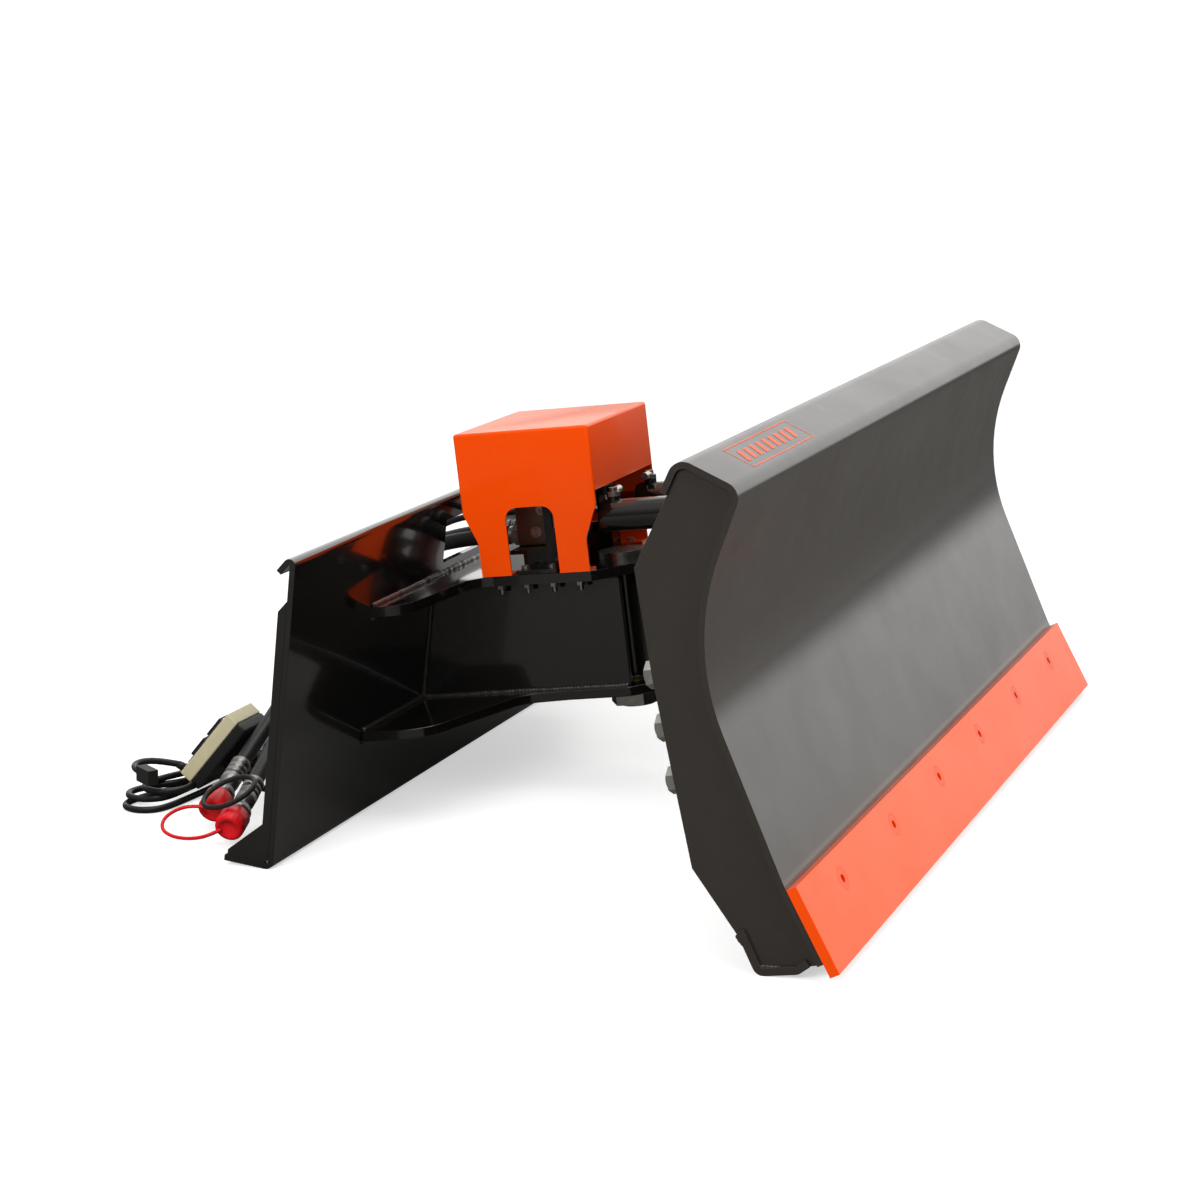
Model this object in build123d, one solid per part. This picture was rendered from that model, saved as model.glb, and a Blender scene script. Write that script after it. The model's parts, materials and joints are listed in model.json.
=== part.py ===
"""Six-way dozer and snow blade attachment for a skid steer loader.

The row frame stands on the floor: +X points forward, from the quick-attach plate
to the cutting edge, +Y points across the blade, +Z points up. The origin is the
bottom centre of the machine's box. Units are millimetres and degrees.
"""
import os
from math import atan2, cos, degrees, radians, sin, sqrt, tan

from build123d import *

# ---------------------------------------------------------------- driving sizes
machine_length = 888.0      # quick-attach flange to the tip of the cutting edge
blade_width = 1524.0        # a 60 inch blade
pitch = 7.0                 # nose-up lean of the frame as it stands
edge_clearance = 13.0       # cutting edge above the floor, held up by the skid shoes

# universal quick-attach plate
plate_width = 1156.0
plate_height = 419.0
plate_thickness = 8.0
plate_lean = 5.9
lip_length = 44.0
lip_drop = 54.0
flange_depth = 71.0
plate_bend = 12.0
lip_bend = 8.5
pin_slot_width = 28.0
pin_slot_length = 62.0
pin_slot_spacing = 980.0
pin_slot_inset = 36.0       # from the plate's front face back to the slot's centre
window_width = 150.0
window_height = 62.0
window_base = 322.0
gusset_depth = 20.0
gusset_thickness = 8.0
gusset_line = 330.0

# frame deck plates, in the machine's own pitched frame
deck_height = 322.0         # deck surface under the valve
valve_setback = 195.4       # plate foot to the valve's centre line
deck_thickness = 14.0
deck_spacing = 173.0        # deck surface down to the lower plate's top
deck_flare = 321.0
deck_reach = 165.0
deck_neck = 125.0
lower_reach = 150.0
lower_neck = 104.0
side_plate_thickness = 10.0
side_plate_rear = 112.0
side_plate_front = 86.0
side_plate_end = 108.0

# kingpin and swing head
kingpin_u = 85.0
kingpin_radius = 25.0
pivot_tube_radius = 42.0
bush_wall = 5.0
running_clearance = 0.05
thrust_gap = 0.3
bush_flange = 4.0
cheek_thickness = 14.0
cheek_offset = 34.0
cheek_start = 108.0
head_plate_u = 306.0
head_plate_thickness = 16.0
head_plate_width = 220.0

# tilt pivot
tilt_w = -94.0
tilt_pin_radius = 30.0
tilt_tube_radius = 50.0
mount_face_u = 330.0
mount_plate = 12.0
mount_width = 240.0
mount_bottom = -184.0
mount_top = 8.0

# angle cylinders
cylinder_w = 70.0
cylinder_v = 78.0
rod_pin_u = 42.0
barrel_pin_u = 290.0
barrel_radius = 22.5
bore_radius = 18.0
rod_radius = 11.0
barrel_start_u = 96.0
eye_radius = 16.0
eye_thickness = 20.0
cylinder_pin_radius = 8.0
lug_thickness = 12.0
lug_rim = 1.5               # lug beyond the rod eye, so that the rod's shoulder clears it
pin_slack = 4.5             # room for the cylinder's true arc at the rod eye
eye_room = 5.5              # between the rod eye and the lug's spine, for the same arc
washer_thickness = 3.0

# tilt cylinder
tilt_cylinder_w = 46.0
tilt_cylinder_u = 350.0
tilt_barrel_v = -70.0
tilt_rod_v = 190.0
tilt_barrel_radius = 25.0
tilt_bore_radius = 20.0
tilt_rod_radius = 12.5
tilt_eye_radius = 20.0
tilt_eye_thickness = 22.0
tilt_stud_radius = 10.0
tilt_pin_slack = 1.5

# valve and cover
cover_length = 203.0
cover_width = 250.0
cover_height = 205.0
cover_sheet = 3.0
cover_leg_half = 81.5
cover_arch_half = 36.5
cover_arch_height = 96.0
cover_front_edge = 113.0
cover_waist = 94.0
foot_depth = 26.0
screw_line = 110.0
foot_screw_u = 60.0
bracket_screw_u = 20.0
screw_radius = 4.0
hole_clearance = 0.5
block_rear = -50.0
block_front = 24.0
block_half = 56.0
block_bottom = 30.0
block_top = 125.0
bracket_sheet = 6.0
bracket_half = 90.0
bracket_notch = 8.0
coil_radius = 17.0
coil_length = 44.0

# blade section, measured from the cutting edge's lower front corner
sheet = 8.0
edge_height = 114.0
edge_thickness = 13.0
edge_slope = 61.6
lower_slope = 66.5
upper_slope = 70.5
lower_run = 186.0
face_radius = 289.0
upper_run = 82.0
top_flange = 88.0
top_slope = 23.5
return_lip = 47.0
bend_radius = 20.0
knee_rise = 8.0
strip_lap = 18.0            # moldboard ends this far above the edge's bottom
end_plate_thickness = 10.0
end_plate_inset = 6.0
bolt_pitch = 246.0
bolt_count = 6
bolt_height = 79.0
plow_bolt_radius = 8.0
plow_head_radius = 15.0
plow_head_depth = 7.0
shoe_thickness = 10.0
shoe_width = 64.0
shoe_bend = 14.0
rib_thickness = 10.0
rib_offsets = (250.0, 480.0)
beam_size = 60.0
beam_wall = 6.0
beam_rear = (264.0, 204.0)
beam_base = (128.0, 396.0)
end_bolt_radius = 10.0
nut_flats = 30.0
nut_height = 16.0
bar_width = 46.0
bar_thickness = 12.0
bar_start = 70.0
bar_length = 190.0
end_bolt_pitch = 64.0

# hoses and harness
hose_radius = 11.0
hose_fitting_radius = 14.0
coupler_radius = 15.0
coupler_length = 62.0
cap_radius = 20.0
cap_length = 32.0
cable_radius = 4.75
hank_length = 470.0
hank_width = 92.0
hank_height = 36.0
hank_centre = (-637.0, -157.0)
hank_turn = 80.6
control_length = 121.0
control_depth = 74.0
control_front = 20.0
control_back = 16.0
control_lean = 50.0
switch_swing = 8.0

# fittings
hose_vs = (-30.0, 30.0)
hose_w = 44.0
lead_v = 48.0
lead_w = 66.0
hose_exit_u = -70.0
eye_neck = 7.0
rod_neck = 6.3
end_cap = 12.0
gland_lip = 4.0
gland_depth = 18.0
piston_length = 16.0
port_inset = 16.0
port_height = 5.0
port_radius = 9.0
washer_radius = 18.0
angle_piston = 112.0
tilt_barrel_length = 176.0
tilt_piston = 96.0
cover_bend = 4.0
side_ports = ((-8.0, 82.0), (-20.0, 50.0))
port_plug_radius = 8.5
coil_spots = ((-27.0, -34.0), (1.0, -34.0), (-27.0, 34.0), (1.0, 34.0))
control_foot = (-649, -275, 38)

# ---------------------------------------------------------------- frames
def bend_rise(radius, turn, slope):
    """How far a rounded corner's lowest point lies above its sharp corner."""
    return radius * (tan(radians(turn / 2)) * sin(radians(slope)) + cos(radians(slope)) - 1)


plate_foot_x = -machine_length / 2 + flange_depth * cos(radians(plate_lean))
valve_x = plate_foot_x + valve_setback
PLATE = Location((plate_foot_x, 0, -bend_rise(plate_bend, 90, plate_lean)), (0, plate_lean, 0))
MACHINE = Location((valve_x, 0, deck_height), (0, -pitch, 0))
tilt_tube_u = (head_plate_u + head_plate_thickness + bush_flange + thrust_gap, 392.0)
edge_tip = Vector(machine_length / 2, 0, edge_clearance)

parts = {}


def block(x0, x1, y0, y1, z0, z1):
    """A box given by its faces."""
    centre = ((x0 + x1) / 2, (y0 + y1) / 2, (z0 + z1) / 2)
    return Pos(*centre) * Box(x1 - x0, y1 - y0, z1 - z0)


def rod_w(u, v, w0, w1, radius):
    """A round bar along the third axis."""
    return Pos(u, v, (w0 + w1) / 2) * Cylinder(radius, w1 - w0)


def rod_v(u, w, v0, v1, radius):
    """A round bar along the second axis."""
    return Pos(u, (v0 + v1) / 2, w) * Rot(90, 0, 0) * Cylinder(radius, v1 - v0)


def rod_u(v, w, u0, u1, radius):
    """A round bar along the first axis."""
    return Pos((u0 + u1) / 2, v, w) * Rot(0, 90, 0) * Cylinder(radius, u1 - u0)


def hexagon(flats, height):
    """A hexagonal prism across the given flats, centred, along Z."""
    return extrude(RegularPolygon(flats / 2, 6, major_radius=False), height / 2, both=True)


def group(solids):
    """Several separate solids kept in one node."""
    flat = []
    for item in solids:
        flat += list(item.solids())
    return Compound(children=flat)


def outline(points, radii):
    """A closed face whose corners are rounded to the given radii."""
    return make_face(FilletPolyline(*points, radius=radii, close=True))


def mirrored(points, radii):
    """An outline given by its +Y half, closed by its mirror image."""
    other = [(x, -y) for x, y in reversed(points)]
    return outline(points + other, radii + radii[::-1])


def section(points):
    """Row-frame points of the blade section on the XZ plane."""
    return [(edge_tip.X + x, 0, edge_tip.Z + z) for x, z in points]


def step(start, angle, length):
    """A point a given way along a direction in the section plane."""
    return (start[0] + length * cos(radians(angle)), start[1] + length * sin(radians(angle)))


def offset_path(points, gap):
    """Corner points of a polyline moved sideways by gap, to its right."""
    lines = []
    for a, b in zip(points, points[1:]):
        dx, dz = b[0] - a[0], b[1] - a[1]
        size = sqrt(dx * dx + dz * dz)
        nx, nz = dz / size * gap, -dx / size * gap
        lines.append(((a[0] + nx, a[1] + nz), (b[0] + nx, b[1] + nz)))
    moved = [lines[0][0]]
    for (a, b), (c, d) in zip(lines, lines[1:]):
        ax, az, cx, cz = b[0] - a[0], b[1] - a[1], d[0] - c[0], d[1] - c[1]
        t = ((c[0] - a[0]) * cz - (c[1] - a[1]) * cx) / (ax * cz - az * cx)
        moved.append((a[0] + ax * t, a[1] + az * t))
    return moved + [lines[-1][1]]


def turn_sign(a, b, c):
    """1 where the path turns right at b, -1 where it turns left."""
    cross = (b[0] - a[0]) * (c[1] - b[1]) - (b[1] - a[1]) * (c[0] - b[0])
    return -1 if cross > 0 else 1


def bent_sheet(points, radii, thickness):
    """Both edges of a bent sheet: the given path and the one to its right."""
    inner = offset_path(points, thickness)
    inner_radii = []
    for i, radius in enumerate(radii):
        inner_radii.append(radius - thickness * turn_sign(*points[i:i + 3]))
    return (points, radii), (inner, inner_radii)


def sheet_face(points, radii, thickness):
    """The cross-section of a bent sheet, on the XZ plane."""
    (outer, outer_radii), (inner, inner_radii) = bent_sheet(points, radii, thickness)
    front = FilletPolyline(*[(x, 0, z) for x, z in outer], radius=outer_radii)
    back = FilletPolyline(*[(x, 0, z) for x, z in inner], radius=inner_radii)
    ends = [Line(front @ 0, back @ 0), Line(front @ 1, back @ 1)]
    return make_face([*front.edges(), *back.edges(), *ends])


def across(face, y0, y1):
    """A section on the XZ plane swept from y0 to y1."""
    solid = extrude(face, amount=y1 - y0, dir=(0, 1, 0))
    return Pos(0, y0, 0) * solid


def cut_to_plate(shape):
    """Trim a machine-frame shape where it meets the plate's front face."""
    reach = 4 * valve_setback
    behind = PLATE * block(-reach, 0, -plate_width, plate_width, -reach, plate_height + reach)
    return shape - MACHINE.inverse() * behind


# ---------------------------------------------------------------- blade section
edge_back = step((0, 0), 270 - edge_slope, edge_thickness)
strip_start = step(edge_back, 180 - edge_slope, strip_lap)
knee = step(edge_back, 180 - edge_slope, edge_height + knee_rise)
arc_start = step(knee, 180 - lower_slope, lower_run)
arc_turn = 180 - lower_slope - upper_slope
arc_tangent = face_radius * tan(radians(arc_turn / 2))
arc_corner = step(arc_start, 180 - lower_slope, arc_tangent)
top_front = step(arc_corner, upper_slope, arc_tangent + upper_run)
top_rear = step(top_front, 180 - top_slope, top_flange)
lip_end = step(top_rear, 270 - top_slope, return_lip)
# from the bottom strip up the face, over the top and down the return lip
face_path = [strip_start, knee, arc_corner, top_front, top_rear, lip_end]
face_radii = [120.0, face_radius, bend_radius, bend_radius]


def reversed_sheet():
    """The path walked from the lip to the bottom, so that its right side is the back."""
    return face_path[::-1], face_radii[::-1]


def back_space(rear_points):
    """The region behind the moldboard, bounded by the given rear outline."""
    path, radii = reversed_sheet()
    (_, _), (inner, inner_radii) = bent_sheet(path, radii, sheet)
    line = FilletPolyline(*[(x, 0, z) for x, z in inner], radius=inner_radii)
    rear = Polyline(*([tuple(line @ 1)] + [(x, 0, z) for x, z in rear_points] + [tuple(line @ 0)]))
    return Pos(edge_tip.X, 0, edge_tip.Z) * make_face([*line.edges(), *rear.edges()])


def front_space():
    """Everything in front of the moldboard's back, as a cutting solid."""
    far = 900.0
    return across(back_space([(far, -60), (far, far), (-260, far)]), -blade_width, blade_width)


rear_outline = [(-70, -4), (-98, -4), (-121, 24), (-183, 107), (-233, 331), (-256, 461)]


def moldboard():
    path, radii = reversed_sheet()
    face = Pos(edge_tip.X, 0, edge_tip.Z) * sheet_face(path, radii, sheet)
    board = across(face, -blade_width / 2, blade_width / 2)
    for y in bolt_rows():
        board -= plow_axis(y) * Cylinder(plow_bolt_radius + hole_clearance, 80)
    return board


def bolt_rows():
    first = -(bolt_count - 1) / 2 * bolt_pitch
    return [first + i * bolt_pitch for i in range(bolt_count)]


def plow_axis(y):
    """A location on the cutting edge's front face, Z pointing out of it."""
    x, z = step((0, 0), 180 - edge_slope, bolt_height)
    return Location((edge_tip.X + x, y, edge_tip.Z + z), (0, edge_slope, 0))


def cutting_edge():
    back = 270 - edge_slope
    top = step((0, 0), 180 - edge_slope, edge_height)
    corners = [(0, 0), top, step(top, back, edge_thickness), step((0, 0), back, edge_thickness)]
    face = make_face(Polyline(*section(corners), close=True))
    edge = across(face, -blade_width / 2, blade_width / 2)
    for y in bolt_rows():
        edge -= plow_axis(y) * Cylinder(plow_bolt_radius + hole_clearance, 80)
        edge -= plow_axis(y) * Pos(0, 0, -(plow_head_depth + 0.2) / 2) * countersink(0.2)
    return edge


def countersink(gap):
    """The cone of a plow bolt's head, wide end at the top."""
    return Cone(plow_bolt_radius + gap, plow_head_radius + gap, plow_head_depth + gap)


def plow_bolts():
    """Countersunk plow bolts with their nuts behind the moldboard."""
    bolts = []
    seat = edge_thickness + sheet
    tail = seat + 22
    for y in bolt_rows():
        bolt = Pos(0, 0, -plow_head_depth / 2) * countersink(0)
        bolt -= Pos(0, 0, -2) * hexagon(10, 4.01)
        bolt += Pos(0, 0, -(plow_head_depth + tail) / 2) * Cylinder(plow_bolt_radius, tail - plow_head_depth)
        bolts.append(plow_axis(y) * (bolt + Pos(0, 0, -seat - 7) * hexagon(24, 14)))
    return group(bolts)


def end_plates():
    plates = []
    face = back_space(rear_outline)
    for side in (-1, 1):
        outer = side * (blade_width / 2 - end_plate_inset)
        inner = outer - side * end_plate_thickness
        plates.append(across(face, min(outer, inner), max(outer, inner)))
    return group(plates)


def rear_line(y, depth):
    """A location on the end plate's long rear edge: Z points out to the rear."""
    low, high = rear_outline[3], rear_outline[4]
    angle = degrees(atan2(high[1] - low[1], high[0] - low[0]))
    x, z = step(low, angle, depth)
    return Location((edge_tip.X + x, y, edge_tip.Z + z), (0, -angle, 0))


def skid_shoes():
    """Bent wear plates under the end plates, the part's lowest points."""
    slope = degrees(atan2(8, 51))
    floor = -edge_clearance - bend_rise(shoe_bend, slope + degrees(atan2(51, 25)), slope)
    path = [(-126, floor + 51), (-101, floor), (-50, floor + 8), (-36, floor + 19)]
    face = Pos(edge_tip.X, 0, edge_tip.Z) * sheet_face(path[::-1], [shoe_bend, shoe_bend], shoe_thickness)
    shoes = []
    for side in (-1, 1):
        outer = side * blade_width / 2
        inner = outer - side * shoe_width
        shoes.append(across(face, min(outer, inner), max(outer, inner)) - end_plates())
    return group(shoes)


def beams():
    """Two square tubes across the blade's back, between the end plates."""
    tubes = []
    half = blade_width / 2 - end_plate_inset - end_plate_thickness
    for x, z in zip(beam_rear, beam_base):
        tube = block(x, x + beam_size, -half, half, z, z + beam_size)
        inside = block(x + beam_wall, x + beam_size - beam_wall, -half, half, z + beam_wall, z + beam_size - beam_wall)
        tubes.append(tube - inside)
    return group(tubes)


def beam_space():
    """The tubes' full outside, for notching what they pass through."""
    shapes = [block(x, x + beam_size, -blade_width, blade_width, z, z + beam_size) for x, z in zip(beam_rear, beam_base)]
    return shapes[0] + shapes[1]


def blade_ribs():
    """Vertical ribs welded between the moldboard and the tubes."""
    ribs = []
    outline_points = [(-110, 40), (-183, 115), (-226, 331), (-244, 462)]
    face = back_space(outline_points)
    for y in rib_offsets:
        for side in (-1, 1):
            mid = side * y
            rib = across(face, mid - rib_thickness / 2, mid + rib_thickness / 2)
            ribs.append(rib - beam_space())
    return ribs


def blade_mount():
    """The box welded to the blade's back that carries the tilt bearing."""
    half = mount_width / 2
    rear = block(mount_face_u, mount_face_u + mount_plate, -half, half, mount_bottom, mount_top)
    far = 620
    shell = rear
    for side in (-1, 1):
        outer, inner = side * half, side * (half - mount_plate)
        shell += block(mount_face_u, far, min(outer, inner), max(outer, inner), mount_bottom, mount_top)
    shell += block(mount_face_u, far, -half, half, mount_top - mount_plate, mount_top)
    shell += block(mount_face_u, far, -half, half, mount_bottom, mount_bottom + mount_plate)
    tube = rod_u(0, tilt_w, tilt_tube_u[0], tilt_tube_u[1], tilt_tube_radius)
    bore = rod_u(0, tilt_w, tilt_tube_u[0] - 1, tilt_tube_u[1] + 1, tilt_pin_radius + bush_wall)
    shell = shell + tube - bore
    return MACHINE * shell - front_space() - beam_space()


def tilt_bushes():
    """Flanged bushes pressed into both ends of the tilt bearing."""
    rear_end, front_end = tilt_tube_u
    bushes = []
    for start, sign in ((rear_end, 1), (front_end, -1)):
        sleeve = rod_u(0, tilt_w, min(start, start + sign * 26), max(start, start + sign * 26), tilt_pin_radius + bush_wall)
        flange = rod_u(0, tilt_w, min(start, start - sign * bush_flange), max(start, start - sign * bush_flange), 42)
        bore = rod_u(0, tilt_w, start - 40, start + 40, tilt_pin_radius + running_clearance)
        bushes.append(sleeve + flange - bore)
    return MACHINE * group(bushes)


def tilt_pin():
    """The pin welded through the swing head's front plate, with its end washer and nut."""
    nut_face = tilt_tube_u[1] + bush_flange + thrust_gap
    pin = rod_u(0, tilt_w, head_plate_u, nut_face + 40, tilt_pin_radius)
    pin += rod_u(0, tilt_w, nut_face, nut_face + 6, 46)
    pin += Pos(nut_face + 20, 0, tilt_w) * Rot(0, 90, 0) * hexagon(82, 28)
    return MACHINE * pin


def tilt_stud_plate():
    """The blade's lug and stud for the tilt cylinder's rod."""
    plate = block(tilt_cylinder_u + 13.5, tilt_cylinder_u + 25.5, tilt_rod_v - 26, tilt_rod_v + 26, tilt_cylinder_w - 30, tilt_cylinder_w + 26)
    webs = block(tilt_cylinder_u + 24, 620, tilt_rod_v - 26, tilt_rod_v - 14, tilt_cylinder_w - 30, tilt_cylinder_w + 26)
    webs += block(tilt_cylinder_u + 24, 620, tilt_rod_v + 14, tilt_rod_v + 26, tilt_cylinder_w - 30, tilt_cylinder_w + 26)
    stud = rod_u(tilt_rod_v, tilt_cylinder_w, tilt_cylinder_u - 16, tilt_cylinder_u + 24, tilt_stud_radius)
    return MACHINE * (plate + webs + stud) - front_space() - beam_space()


def end_bars():
    """Flat bars inside the end plates, drilled for bolt-on side wings."""
    bars = []
    for side in (-1, 1):
        outer = side * (blade_width / 2 - end_plate_inset - end_plate_thickness)
        inner = outer - side * bar_width
        y = (outer + inner) / 2
        bar = rear_line(y, bar_length / 2 + bar_start) * Pos(0, 0, -bar_thickness / 2) * Box(bar_length, bar_width, bar_thickness)
        for depth in end_bolt_depths():
            bar -= rear_line(y, depth) * Cylinder(end_bolt_radius + 0.5, 60)
        bars.append(bar)
    return bars


def end_bolt_depths():
    return [bar_start + bar_length / 2 + i * end_bolt_pitch for i in (-1, 0, 1)]


def end_bolts():
    """Hex bolts through the end bars, heads inside, with their nuts to the rear."""
    bolts = []
    for side in (-1, 1):
        y = side * (blade_width / 2 - end_plate_inset - end_plate_thickness - bar_width / 2)
        for depth in end_bolt_depths():
            bolt = Pos(0, 0, -bar_thickness - 6.5) * hexagon(nut_flats, 13)
            bolt += Pos(0, 0, (nut_height + 3 - bar_thickness) / 2) * Cylinder(
                end_bolt_radius, nut_height + 3 + bar_thickness)
            bolts.append(rear_line(y, depth) * (bolt + Pos(0, 0, nut_height / 2) * hexagon(nut_flats, nut_height)))
    return group(bolts)


# ---------------------------------------------------------------- quick-attach plate
def attach_plate():
    crown = plate_height + lip_bend * (tan(radians((90 + lip_drop) / 2)) - 1)
    lip = (-lip_length * cos(radians(lip_drop)), crown - lip_length * sin(radians(lip_drop)))
    path = [lip, (0, crown), (0, 0), (-flange_depth, 0)]
    face = sheet_face(path, [lip_bend, plate_bend], plate_thickness)
    plate = across(face, -plate_width / 2, plate_width / 2)
    plate -= block(-60, 20, -window_width / 2, window_width / 2, window_base, window_base + window_height)
    for side in (-1, 1):
        slot = Pos(-pin_slot_inset, side * pin_slot_spacing / 2, 0)
        plate -= slot * Rot(0, 0, 90) * slot_cutter(pin_slot_length, pin_slot_width)
    return PLATE * plate


def slot_cutter(length, width):
    return extrude(SlotOverall(length, width), 40, both=True)


def attach_gussets():
    """Flat ribs behind the plate, from the lip down to the flange."""
    gussets = []
    lip_foot = plate_height - lip_length * sin(radians(lip_drop)) - 6
    for y in (plate_width / 2 - gusset_thickness / 2, gusset_line):
        for side in (-1, 1):
            mid = side * y
            rib = outline3([(-plate_thickness, plate_thickness + 5), (-plate_thickness, lip_foot - 14),
                            (-gusset_depth, lip_foot - 30), (-gusset_depth, 60),
                            (-flange_depth + 4, plate_thickness + 8), (-flange_depth + 4, plate_thickness),
                            (-plate_thickness - 5, plate_thickness)])
            gussets.append(PLATE * across(rib, mid - gusset_thickness / 2, mid + gusset_thickness / 2))
    return group(gussets)


def outline3(points):
    return make_face(Polyline(*[(x, 0, z) for x, z in points], close=True))


# ---------------------------------------------------------------- deck
def deck_holes(shape, w):
    for v in (-screw_line, screw_line):
        for u in screw_us:
            shape -= rod_w(u, v, w - 30, w + 30, screw_radius + hole_clearance)
    return shape


screw_us = (-foot_screw_u, -bracket_screw_u, bracket_screw_u, foot_screw_u)


def frame_top_plate():
    half = mirrored([(-260, deck_flare), (-116, deck_flare), (-96, deck_neck), (82, deck_neck),
                     (126, 80), (deck_reach, 42)], [0, 40, 36, 10, 10, 26])
    plate = extrude(half, amount=-deck_thickness)
    plate -= rod_w(kingpin_u, 0, -30, 10, kingpin_radius + running_clearance)
    return MACHINE * cut_to_plate(deck_holes(plate, 0))


def frame_bottom_plate():
    half = mirrored([(-300, deck_flare), (-112, deck_flare), (-44, 118), (20, lower_neck), (110, 96),
                     (lower_reach, 56)], [0, 60, 40, 0, 20, 30])
    plate = Pos(0, 0, -deck_spacing) * extrude(half, amount=-deck_thickness)
    plate -= rod_w(kingpin_u, 0, -deck_spacing - 30, -deck_spacing + 10, kingpin_radius + running_clearance)
    return MACHINE * cut_to_plate(plate)


def frame_side_plates():
    plates = []
    for side in (-1, 1):
        a, b = side * side_plate_rear, side * side_plate_front
        inset = -side * side_plate_thickness
        face = make_face(Polyline((-300, a), (side_plate_end, b), (side_plate_end, b + inset), (-300, a + inset), close=True))
        plate = Pos(0, 0, -deck_thickness) * extrude(face, amount=-(deck_spacing - deck_thickness))
        plates.append(MACHINE * cut_to_plate(plate))
    return group(plates)


# ---------------------------------------------------------------- kingpin and swing head
tube_top = -deck_thickness - thrust_gap - bush_flange
tube_bottom = -deck_spacing + thrust_gap + bush_flange


def swing_head():
    tube = rod_w(kingpin_u, 0, tube_bottom, tube_top, pivot_tube_radius)
    cheeks = tube
    for side in (-1, 1):
        a, b = side * cheek_offset, side * (cheek_offset + cheek_thickness)
        profile = outline([(cheek_start, tube_top - 4), (head_plate_u, tube_top - 4),
                           (head_plate_u, tube_bottom + 4), (cheek_start, tube_bottom + 4)], [24, 0, 0, 24])
        flat = extrude(profile, amount=cheek_thickness)
        cheeks += Pos(0, max(a, b), 0) * Rot(90, 0, 0) * flat
    for w in (tube_top - 4 - 10, tube_bottom + 4):
        cheeks += block(cheek_start + 10, head_plate_u, -cheek_offset, cheek_offset, w, w + 10)
    face = outline([(-head_plate_width / 2, -172), (head_plate_width / 2, -172),
                    (head_plate_width / 2, cylinder_w + 26), (-head_plate_width / 2, cylinder_w + 26)], [30, 30, 24, 24])
    facing = Plane(origin=(head_plate_u, 0, 0), x_dir=(0, 1, 0), z_dir=(1, 0, 0)).location
    plate = facing * extrude(face, amount=head_plate_thickness)
    plate -= block(head_plate_u - 5, head_plate_u + 30, -40, 40, cylinder_w - 40, cylinder_w + 60)
    cheeks += plate
    for side in (-1, 1):
        for w in lug_levels():
            cheeks += head_ear(side * cylinder_v, w)
    cheeks -= rod_w(kingpin_u, 0, tube_bottom - 9, tube_top + 9, kingpin_radius + bush_wall)
    cheeks -= rod_u(0, tilt_w, head_plate_u - 20, head_plate_u + 40, tilt_pin_radius)
    cheeks -= rod_u(tilt_barrel_v, tilt_cylinder_w, head_plate_u - 20, head_plate_u + 40, tilt_stud_radius)
    return MACHINE * cheeks


def lug_levels():
    """Bottoms of the lower and the upper lug of an angle cylinder."""
    gap = eye_thickness / 2 + thrust_gap
    return (cylinder_w - gap - lug_thickness, cylinder_w + gap)


def head_ear(v, w):
    ear = rod_w(barrel_pin_u, v, w, w + lug_thickness, eye_radius + 2)
    ear += block(barrel_pin_u, head_plate_u, v - eye_radius - 2, v + eye_radius + 2, w, w + lug_thickness)
    return ear - rod_w(barrel_pin_u, v, w - 1, w + lug_thickness + 1, cylinder_pin_radius)


def kingpin():
    """The kingpin, dropped through both deck plates, with its washer and nut below."""
    base = -deck_spacing - deck_thickness
    pin = rod_w(kingpin_u, 0, base - 30, 0, kingpin_radius)
    pin += rod_w(kingpin_u, 0, 0, 9, kingpin_radius + 9)
    pin += rod_w(kingpin_u, 0, base - 4, base, 42)
    pin += Pos(kingpin_u, 0, base - 4 - 11) * hexagon(72, 22)
    return MACHINE * pin


def kingpin_bushes():
    bushes = []
    for start, sign in ((tube_top, -1), (tube_bottom, 1)):
        low, high = sorted((start, start + sign * 30))
        sleeve = rod_w(kingpin_u, 0, low, high, kingpin_radius + bush_wall)
        low, high = sorted((start, start - sign * bush_flange))
        sleeve += rod_w(kingpin_u, 0, low, high, pivot_tube_radius)
        bushes.append(sleeve - rod_w(kingpin_u, 0, start - 40, start + 40, kingpin_radius + running_clearance))
    return MACHINE * group(bushes)


def cylinder_lugs():
    """Forked lugs welded on the deck for the angle cylinders' rods."""
    lugs = []
    low, high = lug_levels()
    for side in (-1, 1):
        v = side * cylinder_v
        spine_front = rod_pin_u - eye_radius - eye_room
        lug = block(spine_front - 12, spine_front, v - 17, v + 17, 0, high + lug_thickness)
        for w in (low, high):
            lug += rod_w(rod_pin_u, v, w, w + lug_thickness, eye_radius + lug_rim)
            lug += block(spine_front, rod_pin_u, v - 17, v + 17, w, w + lug_thickness)
        lug += block(spine_front, rod_pin_u + 8, v - 17, v + 17, 0, low)
        lug -= rod_w(rod_pin_u, v, low - 20, high + 40, cylinder_pin_radius + pin_slack)
        lugs.append(MACHINE * lug)
    return group(lugs)


# ---------------------------------------------------------------- cylinders
def cylinder_barrel(length, outer, bore, eye, eye_width, pin):
    """A barrel along -X from its eye at the origin, with the eye's axis along Z."""
    cap = -eye - eye_neck
    body = rod_u(0, 0, -length, cap, outer)
    body += block(cap - 4, 0, -eye * 0.8, eye * 0.8, -eye_width / 2, eye_width / 2)
    body += rod_w(0, 0, -eye_width / 2, eye_width / 2, eye)
    for x in (-length + port_inset, cap - port_inset):
        body += rod_w(x, 0, 0, outer + port_height, port_radius)
    body -= rod_u(0, 0, -length - 1, cap - end_cap, bore)
    return body - rod_w(0, 0, -eye_width, eye_width, pin)


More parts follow.
